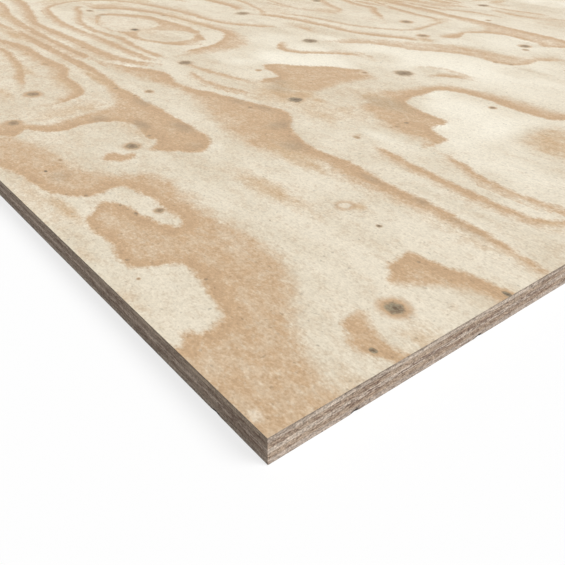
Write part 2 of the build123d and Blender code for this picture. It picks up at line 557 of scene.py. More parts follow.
KNOTS: tuple[Knot, ...] = (
    Knot(121, 35, 4.9, 11.0, 0.88), Knot(83, 15, 1.7, 2.8, 0.85, 1.4),
    Knot(185, 2, 2.0, 3.6, 0.9, 1.8), Knot(186, 112, 1.6, 2.4, 0.75),
    Knot(189, 151, 4.4, 9.5, 0.8, 0.95, healed=True), Knot(75, 231, 2.8, 5.0, 0.6),
    Knot(59, 238, 1.2, 2.2, 0.6, 1.6), Knot(56, 257, 1.0, 1.8, 0.5, 1.4),
    Knot(51, 130, 1.1, 1.8, 0.5), Knot(171, 61, 1.2, 2.0, 0.5), Knot(23, 182, 1.3, 2.6, 0.4),
    Knot(18, 157, 0.9, 1.6, 0.4), Knot(43, 289, 1.6, 3.0, 0.5, once=True),
    Knot(36, 353, 1.2, 2.0, 0.9, 1.6, once=True), Knot(55, 368, 1.0, 2.2, 0.5, 1.6, once=True),
    Knot(144, 372, 1.8, 3.8, 0.5, once=True), Knot(119, 358, 5.2, 9.5, 0.7),
    Knot(56, 485, 5.0, 10.0, 0.55), Knot(105, 562, 5.6, 11.5, 0.6), Knot(319, 368, 6.4, 8.5, 0.85),
    Knot(303, 567, 6.8, 10.5, 0.68), Knot(339, 769, 4.8, 7.0, 0.9, 1.4),
    Knot(345, 938, 3.4, 6.0, 0.5, 1.8), Knot(210, 491, 3.0, 5.5, 0.4, 1.3, once=True),
    Knot(484, 364, 8.2, 12.5, 0.7), Knot(499, 555, 8.6, 11.0, 0.72),
    Knot(532, 763, 9.0, 12.5, 0.55), Knot(463, 220, 2.4, 4.6, 0.6), Knot(449, 395, 2.0, 4.0, 0.5),
    Knot(266, 378, 2.0, 4.0, 0.5), Knot(359, 245, 2.0, 4.5, 0.6), Knot(344, 244, 1.6, 3.2, 0.4),
    Knot(294, 247, 2.2, 3.2, 0.3, 1.5), Knot(190, 488, 1.8, 3.4, 0.35, once=True),
    Knot(186, 525, 2.2, 4.0, 0.4, once=True), Knot(162, 671, 2.6, 5.0, 0.25, 1.7, once=True),
    Knot(235, 718, 2.0, 4.0, 0.2, once=True), Knot(423, 830, 2.4, 4.5, 0.35, 1.6),
    Knot(355, 483, 2.0, 4.5, 0.15, once=True), Knot(693, 338, 3.2, 5.0, 0.25, once=True),
    Knot(803, 481, 3.0, 5.0, 0.3, once=True), Knot(617, 307, 2.4, 4.0, 0.35, once=True),
    Knot(611, 326, 2.0, 3.6, 0.3, once=True), Knot(106, 776, 5.6, 9.0, 0.65),
    Knot(20, 930, 4.5, 8.5, 0.6), Knot(470, 1100, 5.2, 9.0, 0.7), Knot(215, 1090, 2.8, 6.0, 0.5),
)


@dataclass(frozen=True)
class PeeledLog:
    """The log that a veneer was peeled from, which places the figure on the sheet.

    Attributes:
        girth: How far across the sheet the figure repeats, once for each turn of the log.
        lead: How far along the grain the figure moves in a turn.
        start: Where along the grain the drawn figure starts.
        turnabout: Where it ends. Beyond either end it runs on in mirror.
        bend: How gently it turns about at its ends.
        push: How far across the mirrored figure is pushed, at the most.
        push_over: How far along the grain that push builds up.
        sway: How far the push sways to either side.
        sway_pace: How far across and along the sheet it sways through one radian.
        all_turns: The turns that the sheet can show, counted from the drawn one.
        reach: How far from a crisp edge the distance to it still matters.
        rim: How far inside a crisp edge the growth stays darker.
        blur: How much wider than a cell of the mesh the body of tone fades in.
    """

    girth: float = 590.0
    lead: float = 8.0
    start: float = -125.0
    turnabout: float = 1212.0
    bend: float = 60.0
    push: float = 210.0
    push_over: float = 1300.0
    sway: float = 16.0
    sway_pace: Point = (120.0, 230.0)
    all_turns: tuple[int, ...] = (-1, 0, 1, 2, 3)
    reach: float = 16.0
    rim: float = 20.0
    blur: float = 2.0

    def unroll(self, at: np.ndarray) -> np.ndarray:
        """Finds where points of the sheet lie on the log's drawn figure.

        Args:
            at: Points of the sheet, one row each, in millimetres.

        Returns:
            The same points on the log: round it, counted on through its turns, then along it.
        """
        x, y = at[:, 0], at[:, 1]
        along = y + self.lead * x / self.girth
        span = self.turnabout - self.start
        off = np.abs((along - self.start) % (2 * span) - span)
        for end, side in ((0.0, 1.0), (span, -1.0)):
            near = np.maximum(2 * self.bend - np.abs(off - end), 0.0)
            off += side * near ** 2 / (4 * self.bend)
        past = np.clip((along - self.turnabout + 2 * self.bend) / self.push_over, 0.0, 1.0)
        swayed = self.sway * past * np.sin(x / self.sway_pace[0] + y / self.sway_pace[1])
        pushed = self.push * past ** 2 + swayed
        return np.stack([x + pushed, self.turnabout - off], 1)

    def on_log(self, points: np.ndarray) -> np.ndarray:
        """Moves points drawn on the sheet by the log's lead, without wrapping them."""
        return points + np.stack([np.zeros(len(points)), self.lead * points[:, 0] / self.girth], 1)

    def turns(self, at: np.ndarray, once: bool) -> list[np.ndarray]:
        """Sees points on the log from each turn, or only from the drawn one."""
        turns = (0,) if once else self.all_turns
        return [at - np.array([turn * self.girth, 0.0]) for turn in turns]


class Figure:
    """The figure of a peeled face, worked out at any points of the sheet."""

    def __init__(self, log: PeeledLog, slide: Point = (0.0, 0.0)) -> None:
        """Prepares the drawn shapes.

        Args:
            log: The log that the veneer was peeled from.
            slide: How far the sheet's near left corner lies from the drawn figure's.
        """
        self.log = log
        self.slide = np.array(slide, float)
        self.late = [shape.outline() for shape in (*PATCHES, *LINES)]
        self.islands = [shape.outline() for shape in ISLANDS]
        for shape in (*self.late, *self.islands):
            shape.points = log.on_log(shape.points)

    def meetings(self, shapes: Sequence[Outline],
                 at: np.ndarray) -> Iterator[tuple[np.ndarray, ...]]:
        """Measures points against shapes, in each turn that a shape shows in.

        Args:
            shapes: The shapes.
            at: Points on the log.

        Yields:
            The rows of the points near enough to a shape to matter; and for each of those, whether
            it is inside, how far it is from the crisp edge, and the tone there.
        """
        for shape in shapes:
            low = shape.points.min(0) - self.log.reach
            high = shape.points.max(0) + self.log.reach
            for turned in self.log.turns(at, shape.once):
                near = np.flatnonzero(((turned > low) & (turned < high)).all(1))
                if len(near):
                    yield near, *shape.measure(turned[near])

    def late_growth(self, at: np.ndarray, cell: np.ndarray) -> dict[str, np.ndarray]:
        """Works out the late growth.

        Args:
            at: Points on the log.
            cell: How far apart the mesh's points are at each.

        Returns:
            For each point, how far inside the nearest crisp edge it is and the tone there, which
            draw that edge finely; and the body of tone and the dark rim away from it.
        """
        reach, blur = self.log.reach, cell + self.log.blur
        nearest = np.full(len(at), reach)
        edge = -nearest
        tone, body, rim = np.zeros((3, len(at)))

        def settle(near: np.ndarray, crisp: np.ndarray, depth: np.ndarray, dark: np.ndarray) -> None:
            """Keeps what a shape says of the points that no other crisp edge is closer to.

            Args:
                near: The rows of the points near the shape.
                crisp: How far each is from its crisp edge.
                depth: How far inside that edge it is.
                dark: The tone there.
            """
            closer = crisp < nearest[near]
            picked = near[closer]
            nearest[picked] = crisp[closer]
            edge[picked] = depth[closer]
            tone[picked] = dark[closer]

        for near, inside, crisp, dark in self.meetings(self.late, at):
            full = dark * smooth(crisp / blur[near]) * inside
            body[near] = np.maximum(body[near], full)
            depth = np.where(inside, crisp, 0.0)
            deep = dark * smooth(1.0 - depth / self.log.rim) * (inside | (crisp < reach))
            rim[near] = np.maximum(rim[near], deep)
            settle(near, crisp, np.where(inside, crisp, -crisp), dark)
        uncut = body.copy()
        for near, inside, crisp, _ in self.meetings(self.islands, at):
            body[near] *= np.where(inside, 0.0, smooth(crisp / blur[near]))
            settle(near, crisp, np.where(inside, -crisp, crisp), uncut[near])
        return {"edge": edge, "tone": tone, "body": body, "rim": rim}

    def blots(self, at: np.ndarray, blots: Sequence[Blot]) -> np.ndarray:
        """Adds up some soft ovals.

        Args:
            at: Points on the log.
            blots: The ovals.

        Returns:
            The tone at each point, from -1 to 1.
        """
        total = np.zeros(len(at))
        for blot in blots:
            middle = self.log.on_log(np.array([[blot.x, blot.y]]))[0]
            for turned in self.log.turns(at, blot.once):
                off = (turned - middle) / (blot.across, blot.along)
                total += blot.tone * np.exp(-(off ** 2).sum(1) ** 1.5)
        return np.clip(total, -1.0, 1.0)

    def knots(self, at: np.ndarray, cell: np.ndarray,
              family: Sequence[Knot]) -> tuple[np.ndarray, np.ndarray]:
        """Finds the nearest pin knot of a family.

        Args:
            at: Points on the log.
            cell: How far apart the mesh's points are at each. The knot's mark reaches a little
                more than a cell past its halo, so that the mesh can't clip it.
            family: The knots, all far apart.

        Returns:
            The way from its middle in core sizes, with 1 near the knot and 0 elsewhere; and the
            core's shade, its halo's size in cores, and 1 where it is healed.
        """
        offset, heart = np.zeros((2, len(at), 3))
        nearest = np.full(len(at), np.inf)
        margin = 1.4 * cell
        for knot in family:
            middle = self.log.on_log(np.array([[knot.x, knot.y]]))[0]
            for turned in self.log.turns(at, knot.once):
                off = (turned - middle) / (1.0, knot.length)
                gap = np.hypot(off[:, 0], off[:, 1])
                closer = gap < nearest
                nearest[closer] = gap[closer]
                offset[closer, :2] = off[closer] / knot.core
                offset[closer, 2] = gap[closer] < knot.halo + margin[closer]
                heart[closer] = (knot.shade, knot.halo / knot.core, knot.healed)
        return offset, heart

    def write(self, mesh: bpy.types.Mesh, corner: Vector) -> None:
        """Stores the figure on a mesh as point attributes for its material.

        Args:
            mesh: The mesh, in metres.
            corner: The near left corner of the sheet, in metres.
        """
        near_cell, widening = 4.5, 0.003
        sheet = (points_of(mesh)[:, :2] - np.array(corner[:2])) / MM
        at = self.log.unroll(sheet + self.slide)
        cell = near_cell + widening * sheet[:, 1]
        late = self.late_growth(at, cell)
        store_vector(mesh, "figure", np.stack([late["edge"], late["tone"], late["body"]], 1))
        wash, stain = self.blots(at, WASHES + TINTS), self.blots(at, STAINS)
        store_vector(mesh, "growth", np.stack([late["rim"], wash, stain], 1))
        for number, family in enumerate(knot_families()):
            offset, heart = self.knots(at, cell, family)
            store_vector(mesh, f"knot_{number}", offset)
            store_vector(mesh, f"heart_{number}", heart)


def knot_families() -> tuple[list[Knot], list[Knot]]:
    """Shares the knots out so that those close together are in different families.

    Returns:
        The two families.
    """
    apart = 34.0
    families: tuple[list[Knot], list[Knot]] = ([], [])
    for knot in KNOTS:
        lonely = [math.hypot(knot.x - other.x, knot.y - other.y) > apart for other in families[0]]
        families[0 if all(lonely) else 1].append(knot)
    return families


def points_of(mesh: bpy.types.Mesh) -> np.ndarray:
    """Reads where a mesh's points are.

    Args:
        mesh: The mesh.

    Returns:
        The points, one to a row.
    """
    co = np.empty(len(mesh.vertices) * 3)
    mesh.vertices.foreach_get("co", co)
    return co.reshape(-1, 3)


def store_vector(mesh: bpy.types.Mesh, name: str, values: np.ndarray) -> None:
    """Writes one vector for each vertex of a mesh, as a named attribute."""
    attribute = mesh.attributes.new(name, "FLOAT_VECTOR", "POINT")
    attribute.data.foreach_set("vector", values.astype(np.float32).ravel())


class Nodes:
    """A node material under construction."""

    def __init__(self, name: str) -> None:
        """Starts an empty material with a shader and an output.

        Args:
            name: The material's name.
        """
        self.material = bpy.data.materials.new(name)
        self.material.use_nodes = True
        self.tree = self.material.node_tree
        self.tree.nodes.clear()
        self.shader = self.node("BsdfPrincipled", {})
        self.output = self.node("OutputMaterial", {"Surface": self.shader.outputs["BSDF"]})
        in_metres = self.node("TexCoord", {}).outputs["Object"]
        self.place = self.vector("MULTIPLY", in_metres, (1 / MM, 1 / MM, 1 / MM))

    def node(self, kind: str, inputs: dict[str | int, object], **settings: str) -> bpy.types.Node:
        """Adds a node.

        Args:
            kind: What it is, as in its type's name.
            inputs: What each of its inputs is fed with, by the input's name or number.
            settings: The options that it has besides.

        Returns:
            The node.
        """
        node = self.tree.nodes.new("ShaderNode" + kind)
        for name, setting in settings.items():
            setattr(node, name, setting)
        for name, value in inputs.items():
            self.feed(node.inputs[name], value)
        return node

    def feed(self, socket: bpy.types.NodeSocket, value: object) -> None:
        """Fills an input.

        Args:
            socket: The input.
            value: Another node's output to link to it, or a plain value to set on it.
        """
        if isinstance(value, bpy.types.NodeSocket):
            self.tree.links.new(value, socket)
        elif isinstance(value, tuple) and socket.type == "RGBA":
            socket.default_value = (*value, 1.0)
        else:
            socket.default_value = value

    def vector(self, operation: str, a: object, b: object) -> bpy.types.NodeSocket:
        """Combines two vectors."""
        return self.node("VectorMath", {0: a, 1: b}, operation=operation).outputs["Vector"]

    def math(self, operation: str, a: object, b: object = 0.0,
             c: object = 0.0) -> bpy.types.NodeSocket:
        """Works out a number from up to three others."""
        return self.node("Math", {0: a, 1: b, 2: c}, operation=operation).outputs[0]

    def total(self, start: object, *parts: tuple[object, float]) -> object:
        """Adds numbers up, each by its weight.

        Args:
            start: What the sum starts from.
            parts: Each number with its weight.

        Returns:
            The sum.
        """
        for value, weight in parts:
            start = self.math("MULTIPLY_ADD", value, weight, start)
        return start

    def noise(self, grain: Triple, detail: float = 2.0, roughness: float = 0.5,
              shift: float = 0.0) -> bpy.types.NodeSocket:
        """Adds noise whose features measure grain millimetres along each axis.

        Args:
            grain: The size of a feature along x, y and z.
            detail: How many finer layers it has.
            roughness: How strong those are.
            shift: Moves the pattern, so that two noises of one size differ.

        Returns:
            The noise, about 0.5 on average.
        """
        scaled = self.vector("MULTIPLY", self.place, tuple(1.0 / size for size in grain))
        moved = self.vector("ADD", scaled, (shift, 1.7 * shift, 0.6 * shift))
        inputs = {"Vector": moved, "Scale": 1.0, "Detail": detail, "Roughness": roughness}
        return self.node("TexNoise", inputs).outputs["Fac"]

    def cloud(self, grain: Triple, detail: float = 2.0, roughness: float = 0.5,
              shift: float = 0.0) -> bpy.types.NodeSocket:
        """Adds the same noise as noise() does, but about 0 on average."""
        return self.math("SUBTRACT", self.noise(grain, detail, roughness, shift), 0.5)

    def ease(self, value: object, low: float, high: float, start: float = 0.0, end: float = 1.0,
             slope: str = "SMOOTHSTEP") -> bpy.types.NodeSocket:
        """Goes from start to end while a value goes from low to high, gently unless LINEAR."""
        ends = {"Value": value, "From Min": low, "From Max": high, "To Min": start, "To Max": end}
        return self.node("MapRange", ends, interpolation_type=slope).outputs["Result"]

    def mix(self, factor: object, a: object, b: object) -> bpy.types.NodeSocket:
        """Mixes two colours, from all of the first at 0 to all of the second at 1."""
        return self.node("Mix", {0: factor, 6: a, 7: b}, data_type="RGBA").outputs[2]

    def scale_colour(self, colour: object, factor: object) -> bpy.types.NodeSocket:
        """Makes a colour lighter or darker by a factor."""
        return self.node("VectorMath", {0: colour, "Scale": factor}, operation="SCALE").outputs["Vector"]

    def numbers(self, vector: bpy.types.NodeSocket) -> tuple[bpy.types.NodeSocket, ...]:
        """Splits a vector into its three numbers."""
        return tuple(self.node("SeparateXYZ", {0: vector}).outputs)

    def attribute(self, name: str) -> tuple[bpy.types.NodeSocket, ...]:
        """Reads the three numbers of a named vector attribute."""
        return self.numbers(self.node("Attribute", {}, attribute_name=name).outputs["Vector"])

    def finish(self, colour: object, roughness: object, height: object,
               depth: float) -> bpy.types.Material:
        """Connects the finish to the shader.

        Args:
            colour: The base colour.
            roughness: The roughness.
            height: The surface height, from 0 to 1.
            depth: How deep a height of 1 is, in metres.

        Returns:
            The finished material.
        """
        gloss, relief = 0.25, 0.5
        bump = self.node("Bump", {"Strength": relief, "Distance": depth, "Height": height})
        dressed = {"Base Color": colour, "Roughness": roughness, "Specular IOR Level": gloss,
                   "Normal": bump.outputs["Normal"]}
        for name, value in dressed.items():
            self.feed(self.shader.inputs[name], value)
        return self.material


@dataclass(frozen=True)
class PeeledFace:
    """The finish of a peeled and sanded face.

    Attributes:
        name: The material's name.
        early: The pale early growth.
        early_dull: The same where it is greyer.
        bleached: The same where it is whiter.
        late: The late growth.
        late_deep: The late growth next to a crisp edge.
        honey: The late growth where it is washed with yellow.
        halo: The dense wood round a pin knot.
        core: The heart of a pin knot.
        bark: The darker and the paler colour of the ring round that heart.
        stain: Grey-brown stained wood.
        roughness: The sanded surface's roughness.
        rim_weight: How much of the late growth's tone is kept for the rim by a crisp edge.
        edge_band: How far outside and inside a crisp edge its tone sets in, in mm.
        relief: How deep the fibres lie, in metres.
        broad_size: The size of a broad cloud across, along and down, in mm, as are those below.
        patch_size: The size of a patch inside a cloud.
        fuzz_size: The size of a tuft of fibres.
        fibre_size: The size of a single fibre's mark.
        streak_size: The size of a long faint streak.
        fleck_size: The size of a pale fleck in the late growth.
        pitch_size: The size of a speck of pitch.
        knot_size: The size of the waves in a knot's rings.
        bark_size: The size of a spot in a knot's bark.
    """

    name: str
    early: Colour = (0.848, 0.762, 0.611)
    early_dull: Colour = (0.75, 0.66, 0.51)
    bleached: Colour = (0.965, 0.90, 0.755)
    late: Colour = (0.615, 0.425, 0.257)
    late_deep: Colour = (0.51, 0.335, 0.195)
    honey: Colour = (0.65, 0.48, 0.285)
    halo: Colour = (0.585, 0.395, 0.235)
    core: Colour = (0.105, 0.075, 0.048)
    bark: tuple[Colour, Colour] = ((0.2, 0.15, 0.1), (0.29, 0.26, 0.18))
    stain: Colour = (0.30, 0.24, 0.165)
    roughness: float = 0.62
    rim_weight: float = 0.3
    edge_band: Point = (-4.0, 4.2)
    relief: float = 0.0003
    broad_size: Triple = (38.0, 95.0, 38.0)
    patch_size: Triple = (9.0, 15.0, 9.0)
    fuzz_size: Triple = (2.3, 3.6, 2.3)
    fibre_size: Triple = (1.25, 1.8, 1.25)
    streak_size: Triple = (1.8, 60.0, 1.8)
    fleck_size: Triple = (2.4, 4.6, 2.4)
    pitch_size: Triple = (2.6, 3.6, 2.6)
    knot_size: Triple = (4.0, 5.0, 4.0)
    bark_size: Triple = (1.5, 2.0, 1.5)

    def material(self) -> bpy.types.Material:
        """Builds the node material.

        Returns:
            The finished material.
        """
        n = Nodes(self.name)
        _, wash, stain = n.attribute("growth")
        broad = n.cloud(self.broad_size, 3.0, shift=5.0)
        fuzz = n.cloud(self.fuzz_size, 2.0, 0.6, shift=3.0)
        fine = n.cloud(self.fibre_size, 1.0, 0.5, shift=17.0)
        streak = n.cloud(self.streak_size, 3.0, 0.6, shift=7.0)
        white = n.math("MULTIPLY", n.math("MINIMUM", wash, 0.0), -1.0)
        late = n.total(self.late_tone(n, wash, broad, fuzz, fine), (white, -0.22))

        pale = n.mix(n.ease(broad, -0.18, 0.18), self.early, self.early_dull)
        pale = n.mix(n.ease(white, 0.0, 1.0), pale, self.bleached)
        warm = n.mix(n.ease(wash, 0.0, 0.6, 0.0, 0.35), self.late, self.honey)
        tan = n.mix(n.ease(late, -0.05, 0.75, slope="LINEAR"), pale, warm)
        wood = n.mix(n.ease(late, 0.7, 1.25, slope="LINEAR"), tan, self.late_deep)
        knotted, heart = n.mix(n.math("MULTIPLY", stain, 0.75), wood, self.stain), 0.0
        for number in range(len(knot_families())):
            knotted, heart = self.knots(n, number, knotted, heart)

        tint = n.total(1.0, (streak, 0.12), (fuzz, -0.3), (fine, -0.33))
        pitch = n.ease(n.noise(self.pitch_size, 0.0, shift=23.0), 0.76, 0.84, 0.0, 0.22)
        colour = n.scale_colour(knotted, n.math("SUBTRACT", tint, pitch))
        height = n.total(fine, (fuzz, 1.4), (streak, 0.6), (heart, -0.8))
        return n.finish(colour, n.total(self.roughness, (late, -0.08)), height, self.relief)

    def late_tone(self, n: Nodes, wash: object, broad: object, fuzz: object,
                  fine: object) -> bpy.types.NodeSocket:
        """Works out how much late growth shows.

        Args:
            n: The material.
            wash: The tone of the washes.
            broad: Noise that changes over the width of a hand.
            fuzz: Noise as wide as a few fibres.
            fine: Noise as wide as a fibre.

        Returns:
            About 0 on early growth and about 1 where late growth is densest.
        """
        edge, tone, body = n.attribute("figure")
        rim, _, _ = n.attribute("growth")
        patchy = n.cloud(self.patch_size, 3.0, 0.6)
        crisp = n.ease(n.total(edge, (patchy, 4.4), (fuzz, 3.6)), *self.edge_band)
        late = n.math("MAXIMUM", n.math("MULTIPLY", crisp, tone), body)
        depth = n.math("MULTIPLY", n.math("MULTIPLY", rim, crisp), self.rim_weight)
        late = n.total(depth, (late, 1.0 - self.rim_weight))
        late = n.math("MAXIMUM", late, n.math("MULTIPLY", wash, 0.8))
        cloudy = n.total(n.math("MULTIPLY", patchy, 0.95), (fuzz, 0.45), (broad, 0.5), (fine, 0.35))
        swing = n.math("SUBTRACT", n.ease(late, 0.0, 0.4, 0.9, 1.2), n.ease(late, 0.5, 0.75, 0.0, 0.45))
        flecks = n.ease(n.noise(self.fleck_size, 2.0, 0.6, shift=37.0), 0.52, 0.72, 0.0, 0.22)
        return n.math("SUBTRACT", n.math("MULTIPLY_ADD", cloudy, swing, late), flecks)

    def knots(self, n: Nodes, number: int, wood: bpy.types.NodeSocket,
              heart: object) -> tuple[bpy.types.NodeSocket, bpy.types.NodeSocket]:
        """Paints a family of pin knots.

        Args:
            n: The material.
            number: The family.
            wood: The colour of the wood around them.
            heart: How far inside another family's core a point is.

        Returns:
            The colour with the knots, and how far inside a core a point is.
        """
        x, y, near = n.attribute(f"knot_{number}")
        shade, halo, healed = n.attribute(f"heart_{number}")
        way = n.math("SQRT", n.math("ADD", n.math("MULTIPLY", x, x), n.math("MULTIPLY", y, y)))
        ring = n.total(way, (n.cloud(self.knot_size, 2.0, shift=29.0), 1.1))
        marked = n.ease(near, 0.9, 1.0)
        rim = n.math("MULTIPLY", n.ease(n.math("SUBTRACT", halo, ring), -0.5, 0.9), marked)
        own = n.math("MULTIPLY", n.math("MULTIPLY", n.ease(ring, 1.4, 0.75), marked), shade)
        strength = n.total(0.95, (healed, -0.25))
        haloed = n.mix(n.math("MULTIPLY", rim, strength), wood, self.halo)
        outer = n.mix(n.ease(n.noise(self.bark_size, 1.0, shift=31.0), 0.4, 0.6), *self.bark)
        bark = n.mix(n.ease(ring, 0.6, 0.1), outer, self.core)
        closed = n.mix(healed, bark, self.early)
        return n.mix(own, haloed, closed), n.math("MAXIMUM", own, heart)


@dataclass(frozen=True)
class SawnEdge:
    """The finish of a veneer's sawn edge.

    Attributes:
        name: The material's name.
        end_grain: The colour where the saw cut across the fibres.
        side_grain: The colour where it cut along them.
        streak: The colour of the darker streaks.
        contrast: How strongly the streaks show.
        grain: The way that the veneer's fibres run.
        top_arris: Whether the upper edge is the sheet's own arris.
        bottom_arris: Whether the lower edge is.
        pit: The colour of the torn pits.
        glue: The colour of the glue next to the other veneers.
        arris_dark: The colour that the edge darkens to towards the sheet's own arris.
        nick_shade: The near-black colour inside a nick, painted shade for its hollow.
        relief: How deep the fibres lie, in metres.
        roughness: The sawn surface's roughness.
        long_streak: The size of a long streak across, along and down, in mm, as are those below.
        short_streak: The size of a short streak.
        pore_size: The size of a pore.
        pit_size: The size of a torn pit.
    """

    name: str
    end_grain: Colour
    side_grain: Colour
    streak: Colour
    contrast: float
    grain: Grain
    top_arris: bool = False
    bottom_arris: bool = False
    pit: Colour = (0.12, 0.085, 0.06)
    glue: Colour = (0.22, 0.16, 0.115)
    arris_dark: Colour = (0.17, 0.125, 0.09)
    nick_shade: Colour = (0.03, 0.022, 0.018)
    relief: float = 0.0005
    roughness: float = 0.75
    long_streak: Triple = (26.0, 26.0, 1.6)
    short_streak: Triple = (4.5, 4.5, 1.0)
    pore_size: Triple = (1.3, 1.3, 1.0)
    pit_size: Triple = (2.4, 2.4, 1.3)

    def material(self) -> bpy.types.Material:
        """Builds the node material.

        Returns:
            The finished material.
        """
        n = Nodes(self.name)
        height, nick, _ = n.attribute("edge")
        _, facing_end, _ = n.numbers(n.node("NewGeometry", {}).outputs["Normal"])
        at_end = n.ease(n.math("ABSOLUTE", facing_end), 0.4, 0.6)
        colours = (self.side_grain, self.end_grain)
        on_edges, on_ends = colours if self.grain is Grain.LENGTHWISE else colours[::-1]
        wood = n.mix(at_end, on_edges, on_ends)
        long_streaks = n.cloud(self.long_streak, 3.0, 0.6, shift=2.0)
        short_streaks = n.cloud(self.short_streak, 2.0, 0.6, shift=9.0)
        pores = n.cloud(self.pore_size, 1.0, 0.6, shift=13.0)
        lines = n.total(long_streaks, (short_streaks, 1.1))
        streaked = n.mix(n.math("MULTIPLY", n.ease(lines, -0.05, 0.22), self.contrast), wood, self.streak)
        speckled = n.scale_colour(streaked, n.total(1.0, (pores, 1.6), (lines, -0.9)))
        holes = n.ease(n.noise(self.pit_size, 1.0, 0.5, shift=21.0), 0.64, 0.76, 0.0, 0.55)
        pitted = n.mix(holes, speckled, self.pit)
        wavering = n.total(height, (long_streaks, 0.12))
        glue = n.math("MAXIMUM", n.ease(wavering, 0.10, 0.0), n.ease(wavering, 0.90, 1.0))
        glued = n.mix(n.math("MULTIPLY", glue, 0.35), pitted, self.glue)
        # Darker towards the sheet's upper arris and towards its lower one
        arris_darkening = 0.0
        if self.top_arris:
            arris_darkening = n.ease(height, 0.40, 0.98, 0.0, 0.5)
        if self.bottom_arris:
            arris_darkening = n.math("MAXIMUM", arris_darkening, n.ease(height, 0.14, 0.02, 0.0, 0.4))
        trimmed = n.mix(arris_darkening, glued, self.arris_dark)
        # Painted shade: the inside of each nick is darkened almost to black, as its hollow would be in
        # shade
        colour = n.mix(n.ease(nick, 0.1, 0.45), trimmed, self.nick_shade)
        return n.finish(colour, self.roughness, n.math("ADD", lines, pores), self.relief)


@dataclass(frozen=True)
class Nick:
    """A small nick chipped out of the sheet's lower arris.

    Attributes:
        side: The sawn side that it is in, one of the two that meet at the near left corner.
        place: How far along that side it is from the corner, in mm.
        reach: How far it spreads either way, in mm.
        depth: How far in it goes, in mm.
        lift: How far up it pushes the arris, in mm.
        skin: How far in its chipped surface can reach, in mm.
        height: How far up it can reach, in mm.
        blunt: How blunt it is; 1 comes to a point in its middle.
    """

    side: Side
    place: float
    reach: float = 3.2
    depth: float = 0.5
    lift: float = 0.1
    skin: float = 2.0
    height: float = 1.6
    blunt: float = 1.3

    def touched(self, points: np.ndarray, low: Vector) -> np.ndarray:
        """Says how much each of some points is in the nick.

        Args:
            points: The points, in metres.
            low: The sheet's lowest corner.

        Returns:
            A number from 0 to 1 for each point.
        """
        axis, _ = self.side.value
        off = (points - np.array(low)) / MM
        near = (off[:, axis] < self.skin) & (off[:, 2] < self.height)
        away = np.abs(off[:, 1 - axis] - self.place) / self.reach
        return near * smooth(self.blunt * (1.0 - away))


